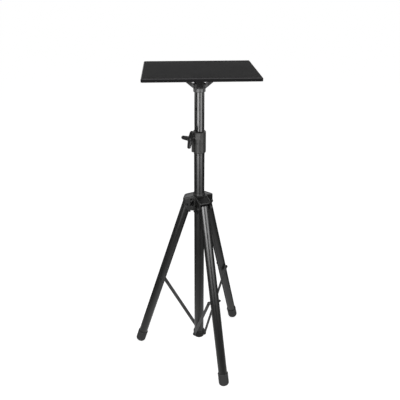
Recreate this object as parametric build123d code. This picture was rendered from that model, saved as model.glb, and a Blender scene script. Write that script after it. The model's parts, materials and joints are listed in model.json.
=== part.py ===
"""Portable projector stand: a tray on a telescopic column, carried by a folding tripod.

Millimetres. The origin is on the floor under the column's axis, +Z is up and -Y is the tray's front.
Pieces of one leg are made in that leg's own plane, with X outward from the column and Y round it,
and are then turned to the leg's azimuth.
"""

from build123d import *
import math
import os

# Tray: a board with rounded edges
TRAY_WIDTH = 380.0
TRAY_DEPTH = 302.0
TRAY_THICKNESS = 12.0
TRAY_HEIGHT = 1157.0  # top face above the floor
TRAY_CORNER_RADIUS = 6.0
TRAY_TOP_ROUND = 4.0
TRAY_UNDER_ROUND = 1.5

# Bracket under the tray: a socket with four sloped arms that end in pads
BRACKET_DROP = 64.0  # underside of the tray to the mouth of the socket
SOCKET_LENGTH = 25.0
SOCKET_DEPTH = 22.0  # mouth of the socket to the end of the mast
SOCKET_WALL = 3.6
SOCKET_DOME = 6.0
SOCKET_MOUTH_ROUND = 1.6
BRACKET_ARM_COUNT = 4
BRACKET_ARM_WIDTH = 23.0
BRACKET_ARM_DEPTH = 10.5
BRACKET_ARM_ROOT = 51.0  # underside of the tray to the arm's lower edge at the socket
BRACKET_REACH = 92.0  # column's axis to the end of a pad
PAD_LENGTH = 30.0
PAD_OVERLAP = 14.0  # how much of a pad the sloped arm carries
PAD_THICKNESS = 6.0
ARM_CHANNEL_WIDTH = 9.0
ARM_CHANNEL_DEPTH = 3.5
ARM_CHANNEL_LENGTH = 48.0
SCREW_INSET = 10.0  # end of a pad to its screw's axis
SCREW_DIAMETER = 4.5
SCREW_CLEARANCE = 0.3
SCREW_HEAD_DIAMETER = 9.0
SCREW_HEAD_HEIGHT = 3.5
SCREW_COVER = 3.0  # board left over a screw's tip

# Mast, the inner tube that slides
MAST_DIAMETER = 35.0
MAST_WALL = 1.5
MAST_LENGTH = 610.0
PIN_HOLE_DIAMETER = 6.5
PIN_HOLE_PITCH = 100.0
PIN_HOLE_COUNT = 5
PIN_HOLE_DROP = 57.0  # mouth of the socket to the first hole

# Column, the outer tube, and the clearances of what slides, turns or seats
COLUMN_WALL = 1.0
SLIDE_CLEARANCE = 0.3
SEAT_GAP = 0.1
PIN_CLEARANCE = 0.1
FACE_GAP = 0.3

# Collar at the top of the column
COLLAR_TOP_HEIGHT = 943.0
COLLAR_LENGTH = 80.0
COLLAR_WALL = 4.4
COLLAR_LIP = 4.0
COLLAR_CHAMFER = 3.0
PAD_FACE_WIDTH = 20.0
PAD_FACE_HEIGHT = 25.0
PAD_FACE_LIFT = 4.5  # knob's axis to the middle of the pad
PAD_FACE_REACH = 4.5
PAD_FACE_ANGLE = 30.0  # from the knob's azimuth
PAD_FACE_ROUND = 2.0
NECK_RADIUS = 6.5
NECK_REACH = 3.0
SPLIT_WIDTH = 4.0
SPLIT_ANGLE = -9.0  # from the knob's azimuth
FIN_THICKNESS = 7.0
FIN_REACH = 4.5
FIN_LENGTH = 54.0
FIN_ANGLE = -40.0  # from the knob's azimuth
FIN_ROUND = 1.5
SEAM_RISE = 39.0  # bottom of the collar to the seam
SEAM_WIDTH = 1.6
SEAM_DEPTH = 0.8

# Knob that clamps the mast
KNOB_AZIMUTH = -133.5
KNOB_DROP = 18.0  # top of the collar to the knob's axis
KNOB_SCREW_DIAMETER = 8.0
KNOB_SCREW_SINK = 12.0
KNOB_STANDOFF = 16.7  # collar to the knob's hub
KNOB_HUB_DIAMETER = 18.0
KNOB_HUB_LENGTH = 18.0
KNOB_HUB_ROUND = 3.0
LOBE_REACH = 34.5
LOBE_TIP_WIDTH = 13.5
LOBE_ROOT_WIDTH = 17.0
LOBE_THICKNESS = 8.0
LOBE_ROUND = 3.0
LOBE_SWEEP = 10.0  # outward lean of a lobe, degrees
LOBE_ANGLES = (-89.0, 25.0, 182.0)  # from straight up, positive to the right of someone who faces the knob

# Yoke that slides on the column and carries the legs
YOKE_PIVOT_RADIUS = 46.0
YOKE_PIVOT_HEIGHT = 662.0
YOKE_RISE = 37.0  # pivot to the top face
YOKE_DROP = 27.0  # pivot to the bottom
YOKE_CORE_WALL = 3.0
YOKE_REACH = 58.5
YOKE_CORNER = 10.0
ROOF_FALL = 11.0  # how much lower a hood's roof is at its end than at the core
ROOF_ROUND = 4.0
ROOF_RIM = 5.5
ROOF_PANEL_DEPTH = 1.2
HOOD_CEILING = 20.0  # pivot to the ceiling over the leg
HOOD_SKIRT_RISE = 8.0  # pivot to the lower edge of the hood's skirt
HOOD_STEP = 1.5  # how far the skirt stands out from the cheeks under it
CHEEK_THICKNESS = 5.0
CHEEK_CLEARANCE = 1.5
CHEEK_TOE_RADIUS = 36.0  # where the cheek's lower edge starts to rise
CHEEK_END_RISE = 4.0  # pivot to the outer end of that edge
WINDOW_START = 18.0  # column's axis to the window beside the core
WINDOW_END = 30.0  # column's axis to the cheek's inner edge
WINDOW_SILL = 25.0  # bottom of the yoke to the window
WINDOW_HEAD = 10.0  # window to the top face
WINDOW_ROUND = 3.0
ARCH_RISE = 7.0  # bottom of the yoke to the arch under the window
RIB_RADIUS = 5.0
RIB_CENTRE = 25.0  # column's axis to the axis of a rib between two arms
RIB_DROP = 7.0  # top face to the top of a rib
RIB_ROUND = 4.5
BUSH_TOP_WALL = 1.2
BUSH_FOOT_WALL = 3.0
BUSH_FOOT_HEIGHT = 3.0
BUSH_HEIGHT = 9.0
PIVOT_BOLT_DIAMETER = 8.0
LOCK_DROP = 2.0  # pivot's height to the lock screw's axis
LOCK_SCREW_DIAMETER = 6.0
LOCK_KNOB_DIAMETER = 22.0
LOCK_KNOB_LENGTH = 13.0
LOCK_KNOB_ROUND = 2.5
LOCK_KNOB_FLUTES = 8
LOCK_KNOB_FLUTE_RADIUS = 2.2
LOCK_STANDOFF = 7.0
LOCK_SCREW_SINK = 8.0

# Legs, their top plugs and their rubber feet
LEG_COUNT = 3
LEG_AZIMUTH = -71.0  # first leg, which points to the front
LEG_DIAMETER = 34.0
LEG_WALL = 1.2
LEG_TOP_MARGIN = 8.0  # tube above its pivot
PLUG_DOME = 3.0
PLUG_LENGTH = 26.0
FOOT_RADIUS = 250.0  # column's axis to the leg's axis, at FOOT_AXIS_HEIGHT
FOOT_AXIS_HEIGHT = 15.0
FOOT_DIAMETER = 39.0
FOOT_LENGTH = 50.0
FOOT_ROUND = 12.0
FOOT_FLAT = 0.8  # how far the floor flattens the round sole
FOOT_SOLE = 14.0  # rubber under the tube's end
FOOT_MOUTH_GAP = 1.2
FOOT_MOUTH_DEPTH = 3.0

# Struts from the legs to the hub at the column's foot
STRUT_WIDTH = 13.5
STRUT_THICKNESS = 3.5
STRUT_PIVOT_HEIGHT = 320.0
STRUT_BOLT_DIAMETER = 6.0
SPACER_DIAMETER = 12.0
LOWER_HUB_DIAMETER = 46.0
LOWER_HUB_HEIGHT = 30.0
LOWER_HUB_BOTTOM = 51.0
LOWER_HUB_FLOOR = 8.0
LOWER_HUB_FLAT = 21.8  # column's axis to a flat that a strut turns on
LOWER_HUB_ROUND = 11.0
LOWER_HUB_CHAMFER = 2.0
HUB_PIVOT_RADIUS = 7.0
HUB_PIVOT_RISE = 17.0  # bottom of the hub to a strut's pivot
HUB_BOLT_GAP = 0.3  # end of a hub bolt to the column

# Proportions of common fasteners, as shares of the thread's diameter
HEAD_DIAMETER_SHARE = 1.65
HEAD_HEIGHT_SHARE = 0.6
NUT_WIDTH_SHARE = 1.65
NUT_HEIGHT_SHARE = 0.8
BOLT_END_SHARE = 0.35

OVERCUT = 5.0  # how far a cutter runs past the piece that it cuts

# Sizes that follow from those above
TRAY_UNDERSIDE = TRAY_HEIGHT - TRAY_THICKNESS
PAD_UNDERSIDE = TRAY_UNDERSIDE - PAD_THICKNESS
SOCKET_MOUTH = TRAY_UNDERSIDE - BRACKET_DROP
SOCKET_BORE_RADIUS = MAST_DIAMETER / 2 + SEAT_GAP
SOCKET_RADIUS = SOCKET_BORE_RADIUS + SOCKET_WALL
SOCKET_SEAT = SOCKET_MOUTH + SOCKET_DEPTH
MAST_RADIUS = MAST_DIAMETER / 2
MAST_TOP = SOCKET_SEAT - SEAT_GAP
SCREW_RADIUS = BRACKET_REACH - SCREW_INSET
COLUMN_BORE_RADIUS = MAST_RADIUS + SLIDE_CLEARANCE
COLUMN_RADIUS = COLUMN_BORE_RADIUS + COLUMN_WALL
COLUMN_TOP = COLLAR_TOP_HEIGHT - COLLAR_LIP - SEAT_GAP
COLUMN_BOTTOM = LOWER_HUB_BOTTOM + LOWER_HUB_FLOOR + SEAT_GAP
COLLAR_BORE_RADIUS = COLUMN_RADIUS + SEAT_GAP
COLLAR_RADIUS = COLLAR_BORE_RADIUS + COLLAR_WALL
COLLAR_BOTTOM = COLLAR_TOP_HEIGHT - COLLAR_LENGTH
NECK_FACE = COLLAR_RADIUS + NECK_REACH
KNOB_HEIGHT = COLLAR_TOP_HEIGHT - KNOB_DROP
KNOB_BASE = COLLAR_RADIUS + KNOB_STANDOFF
PAD_FACE_MIDDLE = KNOB_HEIGHT + PAD_FACE_LIFT
PAD_FACE_UNDERSIDE = PAD_FACE_MIDDLE - PAD_FACE_HEIGHT / 2
LEG_RADIUS = LEG_DIAMETER / 2
LEG_ANGLE = math.atan2(FOOT_RADIUS - YOKE_PIVOT_RADIUS, YOKE_PIVOT_HEIGHT - FOOT_AXIS_HEIGHT)
CHEEK_INNER = LEG_RADIUS + CHEEK_CLEARANCE
CHEEK_OUTER = CHEEK_INNER + CHEEK_THICKNESS
LUG_OUTER = CHEEK_OUTER - HOOD_STEP
YOKE_BORE_RADIUS = COLUMN_RADIUS + SLIDE_CLEARANCE
YOKE_CORE_RADIUS = YOKE_BORE_RADIUS + YOKE_CORE_WALL
YOKE_TOP = YOKE_PIVOT_HEIGHT + YOKE_RISE
YOKE_BOTTOM = YOKE_PIVOT_HEIGHT - YOKE_DROP
ROOF_SLOPE = ROOF_FALL / (YOKE_REACH - YOKE_CORE_RADIUS)
ROOF_APEX = YOKE_TOP + ROOF_SLOPE * YOKE_CORE_RADIUS  # the roofs' planes meet here over the column's axis
LOCK_AZIMUTH = LEG_AZIMUTH + 180.0  # between the two legs that point to the back
LOCK_HEIGHT = YOKE_PIVOT_HEIGHT - LOCK_DROP
LOCK_BASE = RIB_CENTRE + RIB_RADIUS + LOCK_STANDOFF
FOOT_BODY_RADIUS = FOOT_DIAMETER / 2
SOLE_HEIGHT = FOOT_ROUND + math.sin(LEG_ANGLE) * (FOOT_BODY_RADIUS - FOOT_ROUND) - FOOT_FLAT
LEG_END = FOOT_ROUND + (YOKE_PIVOT_HEIGHT - SOLE_HEIGHT) / math.cos(LEG_ANGLE)
TUBE_END = LEG_END - FOOT_SOLE
STRUT_PIVOT_ALONG = (YOKE_PIVOT_HEIGHT - STRUT_PIVOT_HEIGHT) / math.cos(LEG_ANGLE)
STRUT_PIVOT_RADIUS = YOKE_PIVOT_RADIUS + STRUT_PIVOT_ALONG * math.sin(LEG_ANGLE)
HUB_PIVOT_HEIGHT = LOWER_HUB_BOTTOM + HUB_PIVOT_RISE
STRUT_RUN = STRUT_PIVOT_RADIUS - HUB_PIVOT_RADIUS
STRUT_RISE = STRUT_PIVOT_HEIGHT - HUB_PIVOT_HEIGHT
STRUT_LENGTH = math.hypot(STRUT_RUN, STRUT_RISE)
STRUT_ANGLE = math.atan2(STRUT_RUN, STRUT_RISE)
STRUT_INNER = LOWER_HUB_FLAT + FACE_GAP
STRUT_OUTER = STRUT_INNER + STRUT_THICKNESS


def rod(radius, bottom, top):
    """An upright cylinder about the Z axis."""
    return Pos(0, 0, bottom) * extrude(Circle(radius), top - bottom)


def ring(outer, inner, bottom, top):
    """An upright tube about the Z axis."""
    return Pos(0, 0, bottom) * extrude(Circle(outer) - Circle(inner), top - bottom)


def along_x(shape):
    """Turns a piece that was made along +Z so that it points along +X."""
    return Rot(0, 90, 0) * shape


def along_y(shape):
    """Turns a piece that was made along +Z so that it points along +Y."""
    return Rot(-90, 0, 0) * shape


def against_y(shape):
    """Turns a piece that was made along +Z so that it points along -Y."""
    return Rot(90, 0, 0) * shape


def side_profile(points, half_width):
    """A plate in the XZ plane, from (radius, height) points, centred on that plane."""
    outline = Plane.XZ * make_face(Polyline(*points, close=True))
    return extrude(outline, half_width, both=True)


def leg_azimuths():
    return [LEG_AZIMUTH + 360.0 / LEG_COUNT * k for k in range(LEG_COUNT)]


def bracket_azimuths():
    return [360.0 / BRACKET_ARM_COUNT * k for k in range(BRACKET_ARM_COUNT)]


def to_leg(azimuth, shape):
    """Moves a piece from the leg's own frame, with its pivot at the origin and its tube along -Z."""
    hang = Pos(YOKE_PIVOT_RADIUS, 0, YOKE_PIVOT_HEIGHT) * Rot(0, -math.degrees(LEG_ANGLE), 0)
    return Rot(0, 0, azimuth) * hang * shape


def to_strut(azimuth, shape):
    """Moves a piece from the strut's own frame, with its lower pivot at the origin and its bar along +Z."""
    stand = Pos(HUB_PIVOT_RADIUS, 0, HUB_PIVOT_HEIGHT) * Rot(0, math.degrees(STRUT_ANGLE), 0)
    return Rot(0, 0, azimuth) * stand * shape


def to_knob(shape):
    """Moves a piece made along +Z, from the column's axis outward, to the knob's axis."""
    return Rot(0, 0, KNOB_AZIMUTH) * Pos(0, 0, KNOB_HEIGHT) * along_x(shape)


def to_lock(shape):
    """Moves a piece made along +Z, from the column's axis outward, to the lock screw's axis."""
    return Rot(0, 0, LOCK_AZIMUTH) * Pos(0, 0, LOCK_HEIGHT) * along_x(shape)


def bolt_head(diameter):
    """A domed head that stands on the origin and points along +Z."""
    height = HEAD_HEIGHT_SHARE * diameter
    head = rod(HEAD_DIAMETER_SHARE * diameter / 2, 0, height)
    return fillet(head.edges().group_by(Axis.Z)[-1], height / 2)


def nut_with_end(diameter):
    """A hexagon nut that stands on the origin and points along +Z, with the end of its bolt."""
    nut = extrude(RegularPolygon(NUT_WIDTH_SHARE * diameter / 2, 6), NUT_HEIGHT_SHARE * diameter)
    return nut + rod(diameter / 2, 0, (NUT_HEIGHT_SHARE + BOLT_END_SHARE) * diameter)


def tray_board():
    board = Box(TRAY_WIDTH, TRAY_DEPTH, TRAY_THICKNESS, align=(Align.CENTER, Align.CENTER, Align.MAX))
    board = fillet(board.edges().filter_by(Axis.Z), TRAY_CORNER_RADIUS)
    board = fillet(board.edges().group_by(Axis.Z)[-1], TRAY_TOP_ROUND)
    board = fillet(board.edges().group_by(Axis.Z)[0], TRAY_UNDER_ROUND)
    board = Pos(0, 0, TRAY_HEIGHT) * board
    pilot = rod(SCREW_DIAMETER / 2 + SEAT_GAP, TRAY_UNDERSIDE - OVERCUT, TRAY_HEIGHT - SCREW_COVER)
    for azimuth in bracket_azimuths():
        board -= Rot(0, 0, azimuth) * Pos(SCREW_RADIUS, 0, 0) * pilot
    return board


def bracket_arm():
    """One sloped arm with its pad, and a channel along its lower face."""
    root = SOCKET_RADIUS - SOCKET_WALL / 2
    toe = BRACKET_REACH - PAD_LENGTH + PAD_OVERLAP
    low = TRAY_UNDERSIDE - BRACKET_ARM_ROOT
    slope = (PAD_UNDERSIDE - low) / (toe - SOCKET_RADIUS)
    lean = math.atan(slope)
    rise = BRACKET_ARM_DEPTH / math.cos(lean)
    root_low = low - slope * (SOCKET_RADIUS - root)
    crest = root + (TRAY_UNDERSIDE - root_low - rise) / slope
    arm = side_profile(
        [(root, root_low), (toe, PAD_UNDERSIDE), (BRACKET_REACH, PAD_UNDERSIDE),
         (BRACKET_REACH, TRAY_UNDERSIDE), (crest, TRAY_UNDERSIDE), (root, root_low + rise)],
        BRACKET_ARM_WIDTH / 2,
    )
    middle = (SOCKET_RADIUS + toe) / 2
    channel = Box(ARM_CHANNEL_LENGTH, ARM_CHANNEL_WIDTH, 2 * ARM_CHANNEL_DEPTH)
    channel = Rot(0, -math.degrees(lean), 0) * channel
    arm -= Pos(middle, 0, (low + PAD_UNDERSIDE) / 2) * channel
    hole = rod(SCREW_DIAMETER / 2 + SCREW_CLEARANCE, PAD_UNDERSIDE - OVERCUT, TRAY_UNDERSIDE + OVERCUT)
    return arm - Pos(SCREW_RADIUS, 0, 0) * hole


def tray_bracket():
    top = SOCKET_MOUTH + SOCKET_LENGTH
    socket = rod(SOCKET_RADIUS, SOCKET_MOUTH, top + SOCKET_DOME)
    socket = fillet(socket.edges().group_by(Axis.Z)[-1], SOCKET_DOME)
    socket = fillet(socket.edges().group_by(Axis.Z)[0], SOCKET_MOUTH_ROUND)
    arm = bracket_arm()
    for azimuth in bracket_azimuths():
        socket += Rot(0, 0, azimuth) * arm
    return socket - rod(SOCKET_BORE_RADIUS, SOCKET_MOUTH - OVERCUT, SOCKET_SEAT)


def bracket_screw(azimuth):
    shank = rod(SCREW_DIAMETER / 2, PAD_UNDERSIDE, TRAY_HEIGHT - SCREW_COVER - SEAT_GAP)
    head = rod(SCREW_HEAD_DIAMETER / 2, PAD_UNDERSIDE - SCREW_HEAD_HEIGHT, PAD_UNDERSIDE)
    head = fillet(head.edges().group_by(Axis.Z)[0], SCREW_HEAD_HEIGHT / 2)
    return Rot(0, 0, azimuth) * Pos(SCREW_RADIUS, 0, 0) * (shank + head)


def mast_tube():
    tube = ring(MAST_RADIUS, MAST_RADIUS - MAST_WALL, MAST_TOP - MAST_LENGTH, MAST_TOP)
    hole = along_x(rod(PIN_HOLE_DIAMETER / 2, -MAST_DIAMETER, MAST_DIAMETER))
    for k in range(PIN_HOLE_COUNT):
        height = SOCKET_MOUTH - PIN_HOLE_DROP - PIN_HOLE_PITCH * k
        tube -= Pos(0, 0, height) * Rot(0, 0, KNOB_AZIMUTH) * hole
    return tube


def column_tube():
    tube = ring(COLUMN_RADIUS, COLUMN_BORE_RADIUS, COLUMN_BOTTOM, COLUMN_TOP)
    return tube - to_knob(rod(KNOB_SCREW_DIAMETER / 2 + SLIDE_CLEARANCE, 0, COLUMN_RADIUS + OVERCUT))


def height_collar():
    """The sleeve that holds the mast: made with the knob along +X, then turned to its azimuth."""
    body = rod(COLLAR_RADIUS, COLLAR_BOTTOM, COLLAR_TOP_HEIGHT)
    body = chamfer(body.edges().filter_by(GeomType.CIRCLE), COLLAR_CHAMFER)
    seam = COLLAR_BOTTOM + SEAM_RISE
    body -= ring(
        COLLAR_RADIUS + OVERCUT, COLLAR_RADIUS - SEAM_DEPTH, seam - SEAM_WIDTH / 2, seam + SEAM_WIDTH / 2
    )
    pad = Box(
        COLLAR_RADIUS + PAD_FACE_REACH, PAD_FACE_WIDTH, PAD_FACE_HEIGHT,
        align=(Align.MIN, Align.CENTER, Align.CENTER),
    )
    pad = fillet(pad.edges().filter_by(Axis.X), PAD_FACE_ROUND)
    pad = fillet(pad.edges().group_by(Axis.X)[-1], PAD_FACE_ROUND / 2)
    body += Rot(0, 0, PAD_FACE_ANGLE) * Pos(0, 0, PAD_FACE_MIDDLE) * pad
    body += Pos(0, 0, KNOB_HEIGHT) * along_x(rod(NECK_RADIUS, 0, NECK_FACE))
    fin = Box(
        COLLAR_RADIUS + FIN_REACH, FIN_THICKNESS, FIN_LENGTH, align=(Align.MIN, Align.CENTER, Align.MIN)
    )
    fin = fillet(fin.edges().group_by(Axis.X)[-1], FIN_ROUND)
    body += Rot(0, 0, FIN_ANGLE) * Pos(0, 0, COLLAR_BOTTOM + COLLAR_CHAMFER) * fin
    body -= rod(COLLAR_BORE_RADIUS, COLLAR_BOTTOM - OVERCUT, COLLAR_TOP_HEIGHT - COLLAR_LIP)
    body -= rod(COLUMN_BORE_RADIUS, COLLAR_BOTTOM, COLLAR_TOP_HEIGHT + OVERCUT)
    split = Box(
        COLLAR_RADIUS + OVERCUT, SPLIT_WIDTH, PAD_FACE_UNDERSIDE - COLLAR_BOTTOM,
        align=(Align.MIN, Align.CENTER, Align.MIN),
    )
    body -= Rot(0, 0, SPLIT_ANGLE) * Pos(0, 0, COLLAR_BOTTOM) * split
    body = Rot(0, 0, KNOB_AZIMUTH) * body
    return body - to_knob(rod(KNOB_SCREW_DIAMETER / 2 + SLIDE_CLEARANCE, 0, NECK_FACE + OVERCUT))


def knob_lobe():
    """One wing of the knob, flat in XY along -X and wider at its tip, then leaned towards +Z."""
    lean = math.radians(LOBE_SWEEP)
    tip = LOBE_REACH / math.cos(lean) - LOBE_TIP_WIDTH / 2
    root = KNOB_HUB_DIAMETER / 4
    outline = [*(Pos(-tip, 0) * Circle(LOBE_TIP_WIDTH / 2)).edges()]
    outline += [*(Pos(-root, 0) * Circle(LOBE_ROOT_WIDTH / 2)).edges()]
    blade = extrude(make_hull(outline), LOBE_THICKNESS / 2, both=True)
    blade = fillet(blade.edges().group_by(Axis.Z)[-1] + blade.edges().group_by(Axis.Z)[0], LOBE_ROUND)
    return Rot(0, LOBE_SWEEP, 0) * blade


def knob_wing():
    hub = rod(KNOB_HUB_DIAMETER / 2, KNOB_BASE, KNOB_BASE + KNOB_HUB_LENGTH)
    hub = fillet(hub.edges().group_by(Axis.Z)[-1], KNOB_HUB_ROUND)
    lobe = Pos(0, 0, KNOB_BASE + KNOB_HUB_LENGTH / 2) * knob_lobe()
    for angle in LOBE_ANGLES:
        hub += Rot(0, 0, -angle) * lobe
    hub -= rod(KNOB_SCREW_DIAMETER / 2 + SEAT_GAP, 0, KNOB_BASE + KNOB_SCREW_SINK)
    return to_knob(hub)


def knob_screw():
    tip = MAST_RADIUS + FACE_GAP
    return to_knob(rod(KNOB_SCREW_DIAMETER / 2, tip, KNOB_BASE + KNOB_SCREW_SINK - SEAT_GAP))


def over_roof(lowered):
    """What lies over one arm's sloped roof, or over that roof lowered by a depth, in the arm's plane."""
    beyond = YOKE_REACH + OVERCUT
    high = ROOF_APEX + OVERCUT
    return side_profile(
        [(0, ROOF_APEX - lowered), (beyond, ROOF_APEX - ROOF_SLOPE * beyond - lowered),
         (beyond, high), (0, high)],
        CHEEK_OUTER + OVERCUT,
    )


def arm_outline(start, inset):
    """The outline of an arm from above, from a radius outward, drawn in all round by an inset."""
    end = YOKE_REACH - inset
    outline = Pos((start + end) / 2, 0) * Rectangle(end - start, 2 * (CHEEK_OUTER - inset))
    return fillet(outline.vertices().group_by(Axis.X)[-1], YOKE_CORNER - inset)


def yoke_arm():
    """One hooded fork, in its leg's plane, with the room for the leg still filled."""
    arm = Pos(0, 0, YOKE_BOTTOM) * extrude(arm_outline(0, 0), ROOF_APEX - YOKE_BOTTOM) - over_roof(0)
    roof = arm.faces().filter_by(lambda face: 0 < face.normal_at().X and 0 < face.normal_at().Z)[0]
    arm = fillet(roof.edges().sort_by(Axis.X)[1:], ROOF_ROUND)
    panel = extrude(arm_outline(YOKE_CORE_RADIUS, ROOF_RIM), ROOF_APEX)
    arm -= panel & over_roof(ROOF_PANEL_DEPTH)
    arm -= rod(YOKE_REACH, YOKE_TOP, ROOF_APEX + OVERCUT)
    beyond = YOKE_REACH + OVERCUT
    below = YOKE_BOTTOM - OVERCUT
    end_height = YOKE_PIVOT_HEIGHT + CHEEK_END_RISE
    rising_edge = [(CHEEK_TOE_RADIUS, below), (CHEEK_TOE_RADIUS, YOKE_BOTTOM), (YOKE_REACH, end_height),
                   (beyond, end_height), (beyond, below)]
    arm -= side_profile(rising_edge, CHEEK_OUTER + OVERCUT)
    skirt = YOKE_PIVOT_HEIGHT + HOOD_SKIRT_RISE
    under_skirt = [(WINDOW_END, below), (beyond, below), (beyond, skirt), (WINDOW_END, skirt)]
    return arm - (side_profile(under_skirt, CHEEK_OUTER + OVERCUT) - side_profile(under_skirt, LUG_OUTER))


def yoke_room():
    """What is cut from one arm: the leg's room, the bolt's hole, and windows and arches by the core."""
    below = YOKE_BOTTOM - OVERCUT
    ceiling = YOKE_PIVOT_HEIGHT + HOOD_CEILING
    room = Box(
        YOKE_REACH + OVERCUT, 2 * CHEEK_INNER, ceiling - below, align=(Align.MIN, Align.CENTER, Align.MAX)
    )
    room = Pos(0, 0, ceiling) * room
    reach = CHEEK_OUTER + OVERCUT
    bolt_hole = along_y(rod(PIVOT_BOLT_DIAMETER / 2 + SEAT_GAP, -reach, reach))
    room += Pos(YOKE_PIVOT_RADIUS, 0, YOKE_PIVOT_HEIGHT) * bolt_hole
    sill = YOKE_BOTTOM + WINDOW_SILL
    head = YOKE_TOP - WINDOW_HEAD
    span = WINDOW_END - WINDOW_START
    middle = (WINDOW_END + WINDOW_START) / 2
    window = RectangleRounded(span, head - sill, WINDOW_ROUND)
    room += Pos(middle, 0, (sill + head) / 2) * extrude(Plane.XZ * window, reach, both=True)
    room += Pos(middle, 0, YOKE_BOTTOM) * Box(span, 2 * reach, 2 * ARCH_RISE)
    return room - rod(YOKE_CORE_RADIUS, below - OVERCUT, YOKE_TOP + OVERCUT)


def yoke_rib():
    """One upright rib with a domed top, which stands between two arms."""
    rib = rod(RIB_RADIUS, YOKE_BOTTOM, YOKE_TOP - RIB_DROP)
    return Pos(RIB_CENTRE, 0, 0) * fillet(rib.edges().group_by(Axis.Z)[-1], RIB_ROUND)


def yoke():
    casting = rod(YOKE_CORE_RADIUS, YOKE_BOTTOM, YOKE_TOP)
    arm = yoke_arm()
    room = yoke_room()
    rib = yoke_rib()
    for azimuth in leg_azimuths():
        casting += Rot(0, 0, azimuth) * arm
        casting += Rot(0, 0, azimuth + 180.0) * rib
    for azimuth in leg_azimuths():
        casting -= Rot(0, 0, azimuth) * room
    casting -= to_lock(rod(LOCK_SCREW_DIAMETER / 2 + SEAT_GAP, 0, YOKE_REACH))
    return casting - rod(YOKE_BORE_RADIUS, YOKE_BOTTOM - OVERCUT, YOKE_TOP + OVERCUT)


def yoke_bush():
    """The neck on the yoke: a plain foot, and a cone that narrows to the column."""
    foot_radius = YOKE_BORE_RADIUS + BUSH_FOOT_WALL
    outline = Polyline(
        (YOKE_BORE_RADIUS, 0), (foot_radius, 0), (foot_radius, BUSH_FOOT_HEIGHT),
        (YOKE_BORE_RADIUS + BUSH_TOP_WALL, BUSH_HEIGHT), (YOKE_BORE_RADIUS, BUSH_HEIGHT), close=True,
    )
    return Pos(0, 0, YOKE_TOP) * revolve(Plane.XZ * make_face(outline), Axis.Z)


def lock_knob():
    """The fluted grip of the screw that holds the yoke on the column."""
    radius = LOCK_KNOB_DIAMETER / 2
    grip = rod(radius, LOCK_BASE, LOCK_BASE + LOCK_KNOB_LENGTH)
    grip = fillet(grip.edges().group_by(Axis.Z)[-1], LOCK_KNOB_ROUND)
    flute = rod(LOCK_KNOB_FLUTE_RADIUS, LOCK_BASE - OVERCUT, LOCK_BASE + LOCK_KNOB_LENGTH + OVERCUT)
    for k in range(LOCK_KNOB_FLUTES):
        grip -= Rot(0, 0, 360.0 / LOCK_KNOB_FLUTES * k) * Pos(radius, 0, 0) * flute
    return to_lock(grip - rod(LOCK_SCREW_DIAMETER / 2 + SEAT_GAP, 0, LOCK_BASE + LOCK_SCREW_SINK))


def lock_screw():
    tip = COLUMN_RADIUS + FACE_GAP
    return to_lock(rod(LOCK_SCREW_DIAMETER / 2, tip, LOCK_BASE + LOCK_SCREW_SINK - SEAT_GAP))


def pivot_bolt(azimuth):
    """The bolt that a leg turns on, held by the yoke's two cheeks."""
    bolt = rod(PIVOT_BOLT_DIAMETER / 2, -LUG_OUTER, LUG_OUTER)
    bolt += Pos(0, 0, LUG_OUTER) * nut_with_end(PIVOT_BOLT_DIAMETER)
    bolt += Pos(0, 0, -LUG_OUTER) * Rot(180, 0, 0) * bolt_head(PIVOT_BOLT_DIAMETER)
    return Rot(0, 0, azimuth) * Pos(YOKE_PIVOT_RADIUS, 0, YOKE_PIVOT_HEIGHT) * along_y(bolt)


def leg_cross_hole():
    """The running hole for the bolt that a leg turns on, in the leg's own frame."""
    return along_y(rod(PIVOT_BOLT_DIAMETER / 2 + PIN_CLEARANCE, -LEG_DIAMETER, LEG_DIAMETER))


def leg_tube(azimuth):
    tube = ring(LEG_RADIUS, LEG_RADIUS - LEG_WALL, -TUBE_END, LEG_TOP_MARGIN)
    bolt_hole = along_y(rod(STRUT_BOLT_DIAMETER / 2 + SEAT_GAP, -LEG_DIAMETER, LEG_DIAMETER))
    tube -= leg_cross_hole() + Pos(0, 0, -STRUT_PIVOT_ALONG) * bolt_hole
    return to_leg(azimuth, tube)


def leg_plug(azimuth):
    """A plastic plug in the top of a leg, with a domed cap that covers the tube's edge."""
    cap = rod(LEG_RADIUS, LEG_TOP_MARGIN, LEG_TOP_MARGIN + PLUG_DOME)
    cap = fillet(cap.edges().group_by(Axis.Z)[-1], PLUG_DOME / 2)
    stem = rod(LEG_RADIUS - LEG_WALL - SEAT_GAP, LEG_TOP_MARGIN - PLUG_LENGTH, LEG_TOP_MARGIN)
    return to_leg(azimuth, cap + stem - leg_cross_hole())


def foot(azimuth):
    """A rubber cap on the end of a leg, with a round sole that the floor flattens."""
    cap = rod(FOOT_BODY_RADIUS, -LEG_END, FOOT_LENGTH - LEG_END)
    cap = fillet(cap.edges().group_by(Axis.Z)[0], FOOT_ROUND)
    cap = fillet(cap.edges().group_by(Axis.Z)[-1], (FOOT_BODY_RADIUS - LEG_RADIUS) / 2)
    cap -= rod(LEG_RADIUS + SEAT_GAP, -TUBE_END - SEAT_GAP, OVERCUT)
    mouth = FOOT_LENGTH - LEG_END
    cap -= rod(LEG_RADIUS + FOOT_MOUTH_GAP, mouth - FOOT_MOUTH_DEPTH, mouth + OVERCUT)
    side = 4 * FOOT_RADIUS
    floor = Box(side, side, FOOT_LENGTH, align=(Align.CENTER, Align.CENTER, Align.MAX))
    return to_leg(azimuth, cap) - floor


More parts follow.
